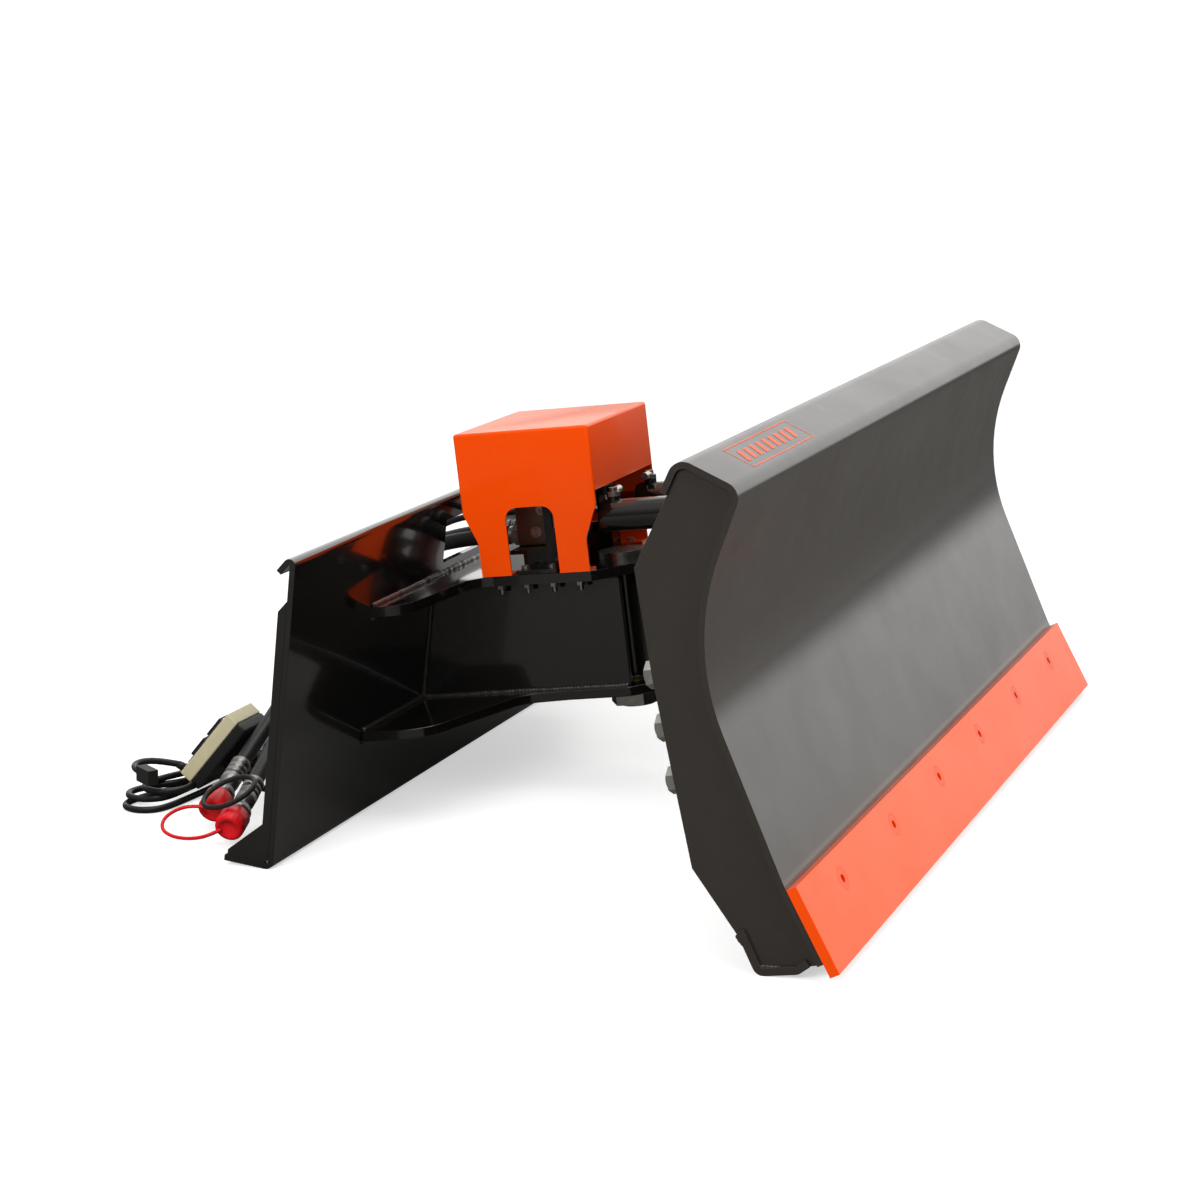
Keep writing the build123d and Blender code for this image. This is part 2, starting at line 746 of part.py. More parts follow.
def cylinder_gland(length, outer, bore, rod):
    """The gland that closes the barrel's open end."""
    cap = rod_u(0, 0, -length - gland_lip, -length, outer - 1.5)
    cap += rod_u(0, 0, -length, -length + gland_depth, bore)
    return cap - rod_u(0, 0, -length - 10, -length + gland_depth + 1, rod + running_clearance)


def cylinder_rod(pin_to_pin, inside, rod, bore, eye, eye_width, pin):
    """Rod, piston and rod eye: the eye lies at -pin_to_pin, the piston inside the barrel."""
    neck = -pin_to_pin + eye + rod_neck
    bar = rod_u(0, 0, neck, -inside, rod)
    bar += rod_u(0, 0, -inside, -inside + piston_length, bore - running_clearance)
    bar += block(-pin_to_pin, neck, -rod * 0.85, rod * 0.85, -eye_width / 2, eye_width / 2)
    bar += rod_w(-pin_to_pin, 0, -eye_width / 2, eye_width / 2, eye)
    return bar - rod_w(-pin_to_pin, 0, -eye_width, eye_width, pin)


def port_elbow(x, outer, side):
    """A zinc elbow screwed on a barrel's port, its hose tail pointing to the given side."""
    seat = outer + port_height
    low, high = sorted((0, side * 24))
    return Pos(x, 0, seat + 3) * hexagon(17, 6) + rod_w(x, 0, seat, seat + 12, 6) + rod_v(x, seat + 6.5, low, high, 5.5)


angle_length = barrel_pin_u - rod_pin_u
angle_barrel = barrel_pin_u - barrel_start_u
tilt_length = tilt_rod_v - tilt_barrel_v


def angle_parts(side):
    """One angle cylinder; -X points from the barrel pin back to the rod pin."""
    at = MACHINE * Location((barrel_pin_u, side * cylinder_v, cylinder_w))
    barrel = cylinder_barrel(angle_barrel, barrel_radius, bore_radius, eye_radius, eye_thickness,
                             cylinder_pin_radius + running_clearance)
    gland = cylinder_gland(angle_barrel, barrel_radius, bore_radius, rod_radius)
    rod = cylinder_rod(angle_length, angle_piston, rod_radius, bore_radius, eye_radius, eye_thickness,
                       cylinder_pin_radius)
    reach = lug_levels()[1] + lug_thickness - cylinder_w
    barrel_pin = rod_w(0, 0, -reach - 4, reach, cylinder_pin_radius)
    barrel_pin += rod_w(0, 0, reach, reach + 4, 13)
    rod_pin = rod_w(-angle_length, 0, -reach - 1, reach + thrust_gap + washer_thickness, cylinder_pin_radius)
    top = reach + thrust_gap
    rod_pin += rod_w(-angle_length, 0, top, top + washer_thickness, washer_radius)
    ports = (-angle_barrel + port_inset, -eye_radius - eye_neck - port_inset)
    elbows = group([port_elbow(x, barrel_radius, -side) for x in ports])
    return [at * item for item in (barrel, gland, rod, barrel_pin, rod_pin, elbows)]


def tilt_parts():
    """The tilt cylinder, lying across the machine above the tilt pin."""
    origin = (tilt_cylinder_u, tilt_barrel_v, tilt_cylinder_w)
    at = MACHINE * Plane(origin=origin, x_dir=(0, -1, 0), z_dir=(1, 0, 0)).location
    barrel = cylinder_barrel(tilt_barrel_length, tilt_barrel_radius, tilt_bore_radius, tilt_eye_radius,
                             tilt_eye_thickness, tilt_stud_radius + running_clearance)
    gland = cylinder_gland(tilt_barrel_length, tilt_barrel_radius, tilt_bore_radius, tilt_rod_radius)
    rod = cylinder_rod(tilt_length, tilt_piston, tilt_rod_radius, tilt_bore_radius, tilt_eye_radius,
                       tilt_eye_thickness, tilt_stud_radius + tilt_pin_slack)
    return [at * item for item in (barrel, gland, rod)]


def tilt_head_pin():
    """The stud on the swing head that carries the tilt cylinder's barrel."""
    face = head_plate_u + head_plate_thickness
    eye = tilt_cylinder_u - tilt_eye_thickness / 2 - thrust_gap
    end = tilt_cylinder_u + tilt_eye_thickness / 2 + thrust_gap
    stud = rod_u(tilt_barrel_v, tilt_cylinder_w, head_plate_u, end + washer_thickness, tilt_stud_radius)
    stud += rod_u(tilt_barrel_v, tilt_cylinder_w, face, eye, tilt_stud_radius + 7)
    stud += rod_u(tilt_barrel_v, tilt_cylinder_w, end, end + washer_thickness, tilt_stud_radius + 6)
    return MACHINE * stud


# ---------------------------------------------------------------- valve and cover
def valve_cover():
    """A folded steel cover: roof, two shaped sides and two short end walls."""
    half_u, half_v = cover_length / 2, cover_width / 2
    outer = block(-half_u, half_u, -half_v, half_v, 0, cover_height)
    outer = fillet(outer.edges().filter_by(Axis.Z) + outer.edges().group_by(Axis.Z)[-1], cover_bend)
    inside = block(-half_u + cover_sheet, half_u - cover_sheet, -half_v + cover_sheet, half_v - cover_sheet,
                   -1, cover_height - cover_sheet)
    shell = outer - inside
    shell -= block(-cover_length, cover_length, -half_v + cover_sheet, half_v - cover_sheet, -1, cover_front_edge)
    leg, arch = cover_leg_half, cover_arch_half
    waist_low = cover_waist - 46
    side = outline([(leg, -1), (leg, waist_low), (half_u, cover_waist), (half_u, cover_height + 1),
                    (-half_u, cover_height + 1), (-half_u, cover_waist), (-leg, waist_low), (-leg, -1),
                    (-arch, -1), (-arch, cover_arch_height), (arch, cover_arch_height), (arch, -1)],
                   [0, 26, 26, 0, 0, 26, 26, 0, 0, 18, 18, 0])
    keep = Pos(0, half_v + 1, 0) * Rot(90, 0, 0) * extrude(side, amount=cover_width + 2)
    shell = shell & keep
    for v in (-1, 1):
        for u in (-1, 1):
            low, high = sorted((u * arch, u * leg))
            near, far = sorted((v * (half_v - 0.5), v * (half_v - foot_depth)))
            foot = block(low, high, near, far, 0, cover_sheet)
            foot -= rod_w(u * foot_screw_u, v * screw_line, -5, 10, screw_radius + hole_clearance)
            shell += foot
    return MACHINE * shell


def deck_screws():
    """Socket screws down through the deck, each with its nut under it."""
    items = []
    for reach, seat in ((foot_screw_u, cover_sheet), (bracket_screw_u, bracket_sheet)):
        for u in (-reach, reach):
            for v in (-screw_line, screw_line):
                screw = rod_w(u, v, seat, seat + 5, 6.5) - Pos(u, v, seat + 5) * hexagon(5, 5)
                screw += rod_w(u, v, -deck_thickness - 14, seat, screw_radius)
                items.append(MACHINE * (screw + Pos(u, v, -deck_thickness - 3.25) * hexagon(13, 6.5)))
    return group(items)


def valve_bracket():
    """A folded black channel that holds the valve block off the deck."""
    half_u = 30.0
    low = block(-half_u, half_u, -screw_line - 12, screw_line + 12, 0, bracket_sheet)
    low -= block(-half_u - 1, half_u + 1, -bracket_half, bracket_half, -1, bracket_sheet + 1)
    low -= block(bracket_notch, half_u + 1, -bracket_half - 6, bracket_half + 6, -1, bracket_sheet + 1)
    top = block(block_rear, bracket_notch, -bracket_half, bracket_half, block_bottom - bracket_sheet, block_bottom)
    top += block(block_rear, block_front, -block_half, block_half, block_bottom - bracket_sheet, block_bottom)
    for side in (-1, 1):
        outer, inner = side * bracket_half, side * (bracket_half - bracket_sheet)
        near, far = sorted((outer, inner))
        low += block(-half_u, bracket_notch, near, far, 0, block_bottom - bracket_sheet)
        for u in (-bracket_screw_u, bracket_screw_u):
            low -= rod_w(u, side * screw_line, -5, 20, screw_radius + hole_clearance)
    return MACHINE * (low + top)


def valve_block():
    body = block(block_rear, block_front, -block_half, block_half, block_bottom, block_top)
    body = chamfer(body.edges(), 1.5)
    for u, w in side_ports:
        body -= rod_v(u, w, -block_half - 1, -block_half + 3, port_plug_radius)
        body -= rod_v(u, w, block_half - 3, block_half + 1, port_plug_radius)
    return MACHINE * body




def solenoid_coils():
    coils = []
    for u, v in coil_spots:
        coil = rod_w(u, v, block_top, block_top + coil_length, coil_radius * 0.78)
        near, far = (12, 24) if v > 0 else (-24, -12)
        coil += block(u - 9, u + 9, v + near, v + far, block_top + 8, block_top + 34)
        coils.append(MACHINE * coil)
    return group(coils)


def valve_trim():
    """Zinc pieces on the valve: side plugs, coil nuts, hose fittings and the cable gland."""
    items = []
    for u, w in side_ports:
        for side in (-1, 1):
            low, high = sorted((side * (block_half - 3), side * (block_half + 2)))
            plug = rod_v(u, w, low, high, port_plug_radius)
            items.append(plug - Pos(u, side * (block_half + 2), w) * Rot(90, 0, 0) * hexagon(8, 6))
    for u, v in coil_spots:
        nut = Pos(u, v, block_top + coil_length + 4) * hexagon(19, 8)
        items.append(nut + rod_w(u, v, block_top + coil_length, block_top + coil_length + 12, 5))
    for v in hose_vs:
        nut = Pos(block_rear - 7, v, hose_w) * Rot(0, 90, 0) * hexagon(27, 14)
        items.append(nut + rod_u(v, hose_w, hose_exit_u, block_rear - 7, hose_radius + 1.5))
    items.append(rod_u(lead_v, lead_w, block_rear - 16, block_rear, 7))
    return MACHINE * group(items)


# ---------------------------------------------------------------- hoses and harness
def run_radii(points):
    """Arc radii for a free hose: 0.45 of the shorter run over the tangent of half the turn."""
    vectors = [Vector(*p) for p in points]
    radii = []
    for a, b, c in zip(vectors, vectors[1:], vectors[2:]):
        turn = (b - a).get_angle(c - b)
        shorter = min((b - a).length, (c - b).length)
        radii.append(0.45 * shorter / tan(radians(turn / 2)))
    return radii


def cord(name, points, radius):
    """A round hose or cable along its route; prints its length and tightest arc."""
    radii = run_radii(points)
    path = FilletPolyline(*points, radius=radii)
    start = Plane(origin=path @ 0, z_dir=path % 0)
    tube = sweep(start * Circle(radius), path=path)
    ideal = path.length * radius * radius * 3.14159265
    print(f"{name}: length {path.length:.0f}, least radius {min(radii):.0f}, volume ratio {tube.volume / ideal:.4f}")
    return tube


def aimed(start, target):
    """A location at start whose Z axis points at target."""
    origin, end = Vector(*start), Vector(*target)
    return Plane(origin=origin, z_dir=end - origin).location


supply_route = [(-253, -30, 357.2), (-325, -30, 348.3), (-410, -34, 322), (-470, -70, 262), (-498, -135, 190),
                (-503, -215, 138), (-495, -300, 108), (-484, -375, 82), (-477, -440, 54)]
return_route = [(-253, 30, 357.2), (-325, 30, 348.3), (-410, 24, 324), (-477, -18, 272), (-512, -88, 211),
                (-528, -165, 162), (-528, -245, 122), (-533, -315, 86), (-534, -372, 58)]
supply_cap = (-468, -526, 25)
return_cap = (-530, -456, 25)
strap_route = [(-526, -468, 41), (-546, -470, 42), (-566, -479, 37), (-578, -494, 27), (-572, -511, 17),
               (-552, -521, 12), (-528, -525, 12), (-506, -526, 16), (-487, -526, 22)]
lead_in_route = [(-251.7, 48, 379.4), (-322, 50, 370.8), (-384, 60, 356), (-434, 82, 326), (-478, 98, 286),
                 (-514, 106, 236), (-544, 106, 180), (-568, 104, 128), (-586, 92, 84), (-598, 62, 54),
                 (-604, 22, 41.2)]
lead_out_route = [(-577.4, -275, 35.3), (-560, -272, 20), (-540, -258, 9), (-530, -234, 6), (-541, -208, 6),
                  (-566, -194, 9), (-592.8, -186, 14)]
plug_route = [(-668, -282, 41.5), (-690, -302, 50), (-708, -326, 52), (-702, -352, 50), (-681, -366, 49.5)]
ring_centre = (-491, -468, 65.5)
ring_normal = (-0.25, -0.31, 0.92)


def coupler(route, cap):
    """Hose ferrule, hexagon and flat-face coupler body, pointing at the cap's centre."""
    at = aimed(route[-1], cap)
    body = Pos(0, 0, 1.15) * Cylinder(hose_fitting_radius, 17, align=(Align.CENTER, Align.CENTER, Align.MIN))
    body += Pos(0, 0, 22) * hexagon(27, 10)
    body += Pos(0, 0, 26) * Cylinder(coupler_radius, coupler_length - 26, align=(Align.CENTER, Align.CENTER, Align.MIN))
    ring = Pos(0, 0, 40) * (Cylinder(coupler_radius + 2, 10) - Cylinder(coupler_radius - 1, 12))
    return at * (body + ring)


def dust_cap(route, cap):
    at = aimed(route[-1], cap)
    start = coupler_length - 14
    body = Pos(0, 0, start) * Cylinder(cap_radius, cap_length, align=(Align.CENTER, Align.CENTER, Align.MIN))
    body = fillet(body.edges(), 2.5)
    pocket = Pos(0, 0, start - 1) * Cylinder(coupler_radius + 0.2, 15.2, align=(Align.CENTER, Align.CENTER, Align.MIN))
    return at * (body - pocket)


def tether_ring():
    return Plane(origin=ring_centre, z_dir=ring_normal).location * Torus(37, 3.5)


def hank():
    """The tied hank of harness cable, as the closed shape that its turns fill."""
    slab = extrude(SlotOverall(hank_length, hank_width), hank_height)
    slab = fillet(slab.edges().group_by(Axis.Z)[-1] + slab.edges().group_by(Axis.Z)[0], 12)
    slab = Pos(*hank_centre, 0) * Rot(0, 0, hank_turn) * slab
    half = control_depth / 2 + 2
    return slab - control_frame() * block(-2, control_length, -half, half, -control_front - control_back - 2, 2)


def hank_tie():
    outer = Box(6, hank_width + 4, hank_height + 4) - Box(8, hank_width + 0.2, hank_height + 0.2)
    outer &= Pos(0, 0, 20.1) * Box(8, hank_width + 8, hank_height + 4 + 36)
    return Pos(*hank_centre, hank_height / 2 + 2.05) * Rot(0, 0, hank_turn) * outer


def control_frame():
    """The control box's own frame: X along it, Z out of its face, Y across."""
    lean = radians(control_lean)
    return Plane(origin=control_foot, x_dir=(cos(lean), 0, sin(lean)), z_dir=(-sin(lean), 0, cos(lean))).location


def control_parts():
    at = control_frame()
    length, half = control_length, control_depth / 2
    front = fillet(block(0, length, -half, half, -control_front, 0).edges(), 2.5)
    pocket = block(20, length - 20, -half + 14, half - 14, -14, 1)
    front -= pocket
    back = fillet(block(0, length, -half, half, -control_front - control_back, -control_front).edges(), 3)
    bezel = block(16, length - 16, -half + 10, half - 10, 0, 3) - block(22, length - 22, -half + 16, half - 16, -1, 4)
    rockers = []
    for x in (control_length / 2 - 20, control_length / 2 + 20):
        body = block(x - 16, x + 16, -half + 18, half - 18, 1.5, 9)
        body += rod_v(x, -4, -half + 18, half - 18, 4)
        body += block(x - 4, x + 4, -half + 18, half - 18, -4, 4)
        rockers.append(at * body)
    trim = [bezel]
    for i, x in enumerate((control_length / 2 - 20, control_length / 2 + 20)):
        trim.append(rod_v(x, -4, -half + 14, half - 14, 2))
        rockers[i] -= at * rod_v(x, -4, -half, half, 2.05)
    gland = at * Pos(44, 0, -control_front - control_back - 10) * Cylinder(7.5, 20)
    return {"control_front": at * front, "control_back": at * back, "control_trim": at * group(trim),
            "rocker_angle": rockers[0], "rocker_tilt": rockers[1], "harness_plugs": group([gland, power_plug()])}


def power_plug():
    start, end = Vector(*plug_route[-2]), Vector(*plug_route[-1])
    return Plane(origin=end, z_dir=end - start).location * Pos(0, 0, 18.3) * Box(16, 22, 36)


# ---------------------------------------------------------------- assembly
parts["attach_plate"] = attach_plate()
parts["attach_gussets"] = attach_gussets()
parts["frame_top_plate"] = frame_top_plate()
parts["frame_bottom_plate"] = frame_bottom_plate()
parts["frame_side_plates"] = frame_side_plates()
parts["cylinder_lugs"] = cylinder_lugs()
parts["kingpin"] = kingpin()
parts["valve_bracket"] = valve_bracket()
parts["valve_block"] = valve_block()
parts["solenoid_coils"] = solenoid_coils()
parts["valve_trim"] = valve_trim()
parts["valve_cover"] = valve_cover()
parts["deck_screws"] = deck_screws()
parts["swing_head"] = swing_head()
parts["kingpin_bushes"] = kingpin_bushes()
parts["tilt_pin"] = tilt_pin()
head_pins = [tilt_head_pin()]
for side, hand in ((-1, "left"), (1, "right")):
    barrel, gland, rod, barrel_pin, rod_pin, elbows = angle_parts(side)
    parts[f"angle_barrel_{hand}"] = barrel
    parts[f"angle_gland_{hand}"] = gland
    parts[f"angle_elbows_{hand}"] = elbows
    parts[f"angle_rod_{hand}"] = rod
    parts[f"angle_rod_pin_{hand}"] = rod_pin
    head_pins.append(barrel_pin)
parts["head_pins"] = group(head_pins)
parts["tilt_barrel"], parts["tilt_gland"], parts["tilt_rod"] = tilt_parts()
parts["moldboard"] = moldboard()
parts["end_plates"] = end_plates()
parts["blade_frame"] = group([beams(), *blade_ribs()])
parts["blade_mount"] = blade_mount()
parts["tilt_lug"] = tilt_stud_plate()
parts["tilt_bushes"] = tilt_bushes()
parts["wing_bars"] = group(end_bars())
parts["wing_bolts"] = end_bolts()
parts["skid_shoes"] = skid_shoes()
parts["cutting_edge"] = cutting_edge()
parts["plow_bolts"] = plow_bolts()
parts["supply_hose"] = cord("supply_hose", supply_route, hose_radius)
parts["return_hose"] = cord("return_hose", return_route, hose_radius)
parts["couplers"] = group([coupler(supply_route, supply_cap), coupler(return_route, return_cap)])
parts["dust_caps"] = group([dust_cap(supply_route, supply_cap), dust_cap(return_route, return_cap)])
parts["cap_strap"] = cord("cap_strap", strap_route, 2.5)
parts["tether_ring"] = tether_ring()
parts["harness_lead"] = cord("harness_lead", lead_in_route, cable_radius)
parts["control_lead"] = cord("control_lead", lead_out_route, cable_radius)
parts["plug_lead"] = cord("plug_lead", plug_route, cable_radius)
parts["harness_hank"] = hank()
parts["hank_tie"] = hank_tie()
parts.update(control_parts())

os.makedirs("parts", exist_ok=True)
for name, shape in parts.items():
    export_step(shape, f"parts/{name}.step")
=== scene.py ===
"""Looks for the six-way dozer and snow blade attachment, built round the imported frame."""
import json
import math

import bmesh
import bpy
from mathutils import Matrix, Vector, noise


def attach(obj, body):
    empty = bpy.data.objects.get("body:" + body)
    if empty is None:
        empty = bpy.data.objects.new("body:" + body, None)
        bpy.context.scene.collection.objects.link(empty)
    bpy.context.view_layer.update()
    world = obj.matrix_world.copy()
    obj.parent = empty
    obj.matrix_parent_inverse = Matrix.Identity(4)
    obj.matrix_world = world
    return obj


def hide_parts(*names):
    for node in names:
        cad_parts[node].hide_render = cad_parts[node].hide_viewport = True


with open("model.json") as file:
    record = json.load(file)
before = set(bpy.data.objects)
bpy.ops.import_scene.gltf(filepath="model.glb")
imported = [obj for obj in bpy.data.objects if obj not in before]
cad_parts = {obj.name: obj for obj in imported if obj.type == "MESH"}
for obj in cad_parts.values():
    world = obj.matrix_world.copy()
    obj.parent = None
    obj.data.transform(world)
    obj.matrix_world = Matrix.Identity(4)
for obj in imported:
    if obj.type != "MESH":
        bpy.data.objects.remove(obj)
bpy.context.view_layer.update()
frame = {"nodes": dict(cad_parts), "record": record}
NODES = frame["nodes"]
BODY_OF = {n: b for b, ns in frame["record"]["behaviour"]["bodies"].items() for n in ns}
SLOT_OF = {p["node"]: p["material_slot"] for p in frame["record"]["subparts"]}
MM = 0.001


# ---------------------------------------------------------------- materials
class Paint:
    """Builds one node material step by step."""

    def __init__(self, name, colour, rough, metallic=0.0):
        self.mat = bpy.data.materials.new(name)
        self.mat.use_nodes = True
        self.tree = self.mat.node_tree
        self.shader = self.tree.nodes["Principled BSDF"]
        self.place = self.add("ShaderNodeTexCoord").outputs["Object"]
        self.shader.inputs["Metallic"].default_value = metallic
        self.shader.inputs["Roughness"].default_value = rough
        self.colour = self.add("ShaderNodeRGB").outputs[0]
        self.colour.default_value = (*colour, 1)
        self.rough = rough
        self.heights = []

    def add(self, kind, **values):
        node = self.tree.nodes.new(kind)
        for key, value in values.items():
            setattr(node, key, value)
        return node

    def join(self, a, b):
        self.tree.links.new(a, b)

    def noise(self, scale, detail=4.0, rough=0.55, stretch=None):
        node = self.add("ShaderNodeTexNoise")
        node.inputs["Scale"].default_value = scale
        node.inputs["Detail"].default_value = detail
        node.inputs["Roughness"].default_value = rough
        source = self.place
        if stretch:
            mapping = self.add("ShaderNodeMapping")
            mapping.inputs["Scale"].default_value = stretch
            self.join(self.place, mapping.inputs["Vector"])
            source = mapping.outputs[0]
        self.join(source, node.inputs["Vector"])
        return node.outputs["Fac"]

    def ramp(self, value, low, high, a=0.0, b=1.0):
        node = self.add("ShaderNodeMapRange")
        for key, number in (("From Min", low), ("From Max", high), ("To Min", a), ("To Max", b)):
            node.inputs[key].default_value = number
        self.join(value, node.inputs["Value"])
        return node.outputs[0]

    def tint(self, mask, colour):
        node = self.add("ShaderNodeMix", data_type="RGBA")
        self.join(mask, node.inputs["Factor"])
        self.join(self.colour, node.inputs["A"])
        node.inputs["B"].default_value = (*colour, 1)
        self.colour = node.outputs["Result"]
        return self

    def vary(self, value, spread):
        """Roughness that follows a texture."""
        mapped = self.ramp(value, 0.3, 0.7, max(0.02, self.rough - spread), self.rough + spread)
        self.join(mapped, self.shader.inputs["Roughness"])
        return self

    def bump(self, value, distance, strength=1.0):
        node = self.add("ShaderNodeBump")
        node.inputs["Strength"].default_value = strength
        node.inputs["Distance"].default_value = distance
        self.join(value, node.inputs["Height"])
        if self.heights:
            self.join(self.heights[-1], node.inputs["Normal"])
        self.heights.append(node.outputs[0])
        return self

    def set(self, **values):
        for key, number in values.items():
            self.shader.inputs[key.replace("_", " ")].default_value = number
        return self

    def done(self):
        self.join(self.colour, self.shader.inputs["Base Color"])
        if self.heights:
            self.join(self.heights[-1], self.shader.inputs["Normal"])
        return self.mat


DUST = (0.30, 0.27, 0.23)


def painted(name, colour, rough, dust, coat, gloss_tint=(1, 1, 1)):
    """Powder coat: orange peel, faint mottling, and a little settled dust."""
    p = Paint(name, colour, rough)
    mottle = tuple(min(1.0, c * 1.25 + dust * 0.02) for c in colour)
    p.vary(p.noise(9.0), 0.05)
    p.tint(p.ramp(p.noise(26.0, 6.0), 0.52, 0.8, 0.0, 0.35), mottle)
    p.tint(p.ramp(p.noise(420.0, 2.0), 0.66, 0.74, 0.0, dust), DUST)
    p.bump(p.noise(520.0, 1.0), 0.00006, 0.35)
    p.bump(p.noise(7.0, 2.0), 0.0012, 0.12)
    p.set(Specular_Tint=(*gloss_tint, 1), Coat_Tint=(*gloss_tint, 1))
    return p.set(Coat_Weight=coat, Coat_Roughness=0.06).done()


def metal(name, colour, rough, grain=(1, 1, 1), spread=0.08):
    """Bare or plated metal: a fine grain in gloss and bump, and darker patches."""
    p = Paint(name, colour, rough, 1.0)
    fine = p.noise(160.0, 5.0, 0.6, grain)
    darker = tuple(c * 0.72 for c in colour)
    p.vary(fine, spread)
    p.tint(p.ramp(p.noise(55.0), 0.45, 0.75, 0.0, 0.45), darker)
    return p.bump(fine, 0.00008, 0.4).done()


def moulded(name, colour, rough, grain, depth):
    """Rubber or plastic: a moulded grain and slightly lighter patches."""
    p = Paint(name, colour, rough)
    lighter = tuple(min(1.0, c * 1.35 + 0.004) for c in colour)
    p.vary(p.noise(18.0), 0.07)
    p.tint(p.ramp(p.noise(70.0), 0.5, 0.8, 0.0, 0.3), lighter)
    return p.bump(p.noise(grain, 2.0), depth, 0.5).done()


WARM_GLOSS = (1.0, 0.78, 0.40)
CHROME = (0.85, 0.85, 0.86)
SOOT = (0.012, 0.012, 0.012)
ALONG_ROD = (1, 40, 1)
MATERIALS = {
    "black_paint": painted("black_gloss_paint", (0.0048, 0.0044, 0.0040), 0.15, 0.08, 0.9),
    "blade_paint": painted("anthracite_paint", (0.027, 0.0222, 0.0188), 0.34, 0.05, 0.5),
    "orange_paint": painted("orange_powder_coat", (0.99, 0.080, 0.001), 0.32, 0.0, 0.30,
                            WARM_GLOSS),
    "orange_bolt": painted("orange_bolt_paint", (0.84, 0.060, 0.001), 0.36, 0.05, 0.3,
                           WARM_GLOSS),
    "zinc": metal("zinc_plate", (0.62, 0.62, 0.58), 0.32),
    "bronze": metal("bronze_bush", (0.62, 0.46, 0.22), 0.32),
    "valve_body": metal("phosphated_valve", (0.30, 0.25, 0.20), 0.46),
    "chrome_rod": metal("chrome", CHROME, 0.08, ALONG_ROD, 0.03),
    "chrome_trim": metal("chrome_trim", CHROME, 0.12),
    "coil_plastic": moulded("coil_plastic", SOOT, 0.45, 900.0, 0.0001),
    "hose_rubber": moulded("hose_cover", SOOT, 0.42, 1100.0, 0.00015),
    "dark_steel": metal("steel_coupler", (0.36, 0.35, 0.34), 0.36),
    "red_plastic": moulded("red_plastic", (0.72, 0.006, 0.012), 0.28, 700.0, 0.00005),
    "black_rubber": moulded("black_rubber", SOOT, 0.55, 900.0, 0.0002),
    "cable_jacket": moulded("cable_jacket", (0.010, 0.010, 0.010), 0.38, 1300.0, 0.0001),
    "black_plastic": moulded("black_plastic", SOOT, 0.5, 1200.0, 0.00015),
    "beige_plastic": moulded("beige_plastic", (0.62, 0.56, 0.36), 0.45, 1200.0, 0.00012),
}
WELD = painted("weld_paint", (0.030, 0.027, 0.024), 0.16, 0.12, 0.8)


# ---------------------------------------------------------------- pieces
MERGE_DISTANCE = 2e-6
FLAT_ANGLE = math.radians(0.6)
CUT_ANGLE = math.radians(32)
TURNED_ANGLE = math.radians(30)


def add_piece(name, mesh, body, slot, stands_for=(), material=None):
    """A mesh as a piece riding a body, in its slot's material or the one given, with the CAD
    nodes it stands for hidden.
    """
    obj = bpy.data.objects.new(name, mesh)
    bpy.context.scene.collection.objects.link(obj)
    mesh.materials.append(material or MATERIALS[slot])
    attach(obj, body)
    if stands_for:
        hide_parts(*stands_for)
    return obj


def as_mesh(bm, name):
    """A bmesh written to a new mesh, and freed."""
    mesh = bpy.data.meshes.new(name)
    bm.to_mesh(mesh)
    bm.free()
    return mesh


def shade(bm, sharp):
    """Smooth faces, with a hard edge where two faces meet at the angle sharp or more."""
    for edge in bm.edges:
        edge.smooth = len(edge.link_faces) == 2 and edge.calc_face_angle(0) < sharp
    for face in bm.faces:
        face.smooth = True


def tube(bm, rings):
    """Faces through rings of vertices, closed at both ends."""
    for a, b in zip(rings, rings[1:]):
        for k in range(len(a)):
            ahead = (k + 1) % len(a)
            bm.faces.new((a[k], a[ahead], b[ahead], b[k]))
    bm.faces.new(rings[0][::-1])
    bm.faces.new(rings[-1])


def cleaned(node):
    """A bmesh of a CAD node's faces, with its triangles joined into flat faces."""
    bm = bmesh.new()
    bm.from_mesh(NODES[node].data)
    bmesh.ops.remove_doubles(bm, verts=bm.verts, dist=MERGE_DISTANCE)
    bmesh.ops.dissolve_limit(bm, angle_limit=FLAT_ANGLE, verts=bm.verts, edges=bm.edges)
    return bm


def carry(node, width):
    """A CAD node with its sharp edges broken by a small bevel, as cut steel has."""
    bm = cleaned(node)
    shade(bm, CUT_ANGLE)
    name = node + "_finished"
    piece = add_piece(name, as_mesh(bm, name), BODY_OF[node], SLOT_OF[node], [node])
    bevel = piece.modifiers.new("edge", "BEVEL")
    bevel.width = width
    bevel.segments = 2
    bevel.limit_method = "ANGLE"
    bevel.angle_limit = CUT_ANGLE
    bevel.harden_normals = True


def face_outline(node, direction, least=0.96):
    """Outline of a node's largest face that looks along a direction."""
    bm = cleaned(node)
    ahead = Vector(direction).normalized()
    faces = [f for f in bm.faces if f.normal.dot(ahead) > least]
    largest = max(faces, key=lambda f: f.calc_area())
    corners = [v.co.copy() for v in largest.verts]
    bm.free()
    return corners


def resample(points, gap):
    """Points at even spacing along a polyline."""
    out, carried = [points[0]], 0.0
    for a, b in zip(points, points[1:]):
        length = (b - a).length
        travelled = gap - carried
        while travelled <= length:
            out.append(a.lerp(b, travelled / length))
            travelled += gap
        carried = (carried + length) % gap if length else carried
    return out


BEAD_STEP, BEAD_SIDES, BEAD_SIZE = 0.0014, 8, 0.92
RIPPLE_PACE, RIPPLE_DEPTH = 0.85, 0.22
LUMP_PACE, LUMP_DEPTH = 0.13, 0.30
WANDER_PACE, WANDER_DEPTH = 0.05, 0.35


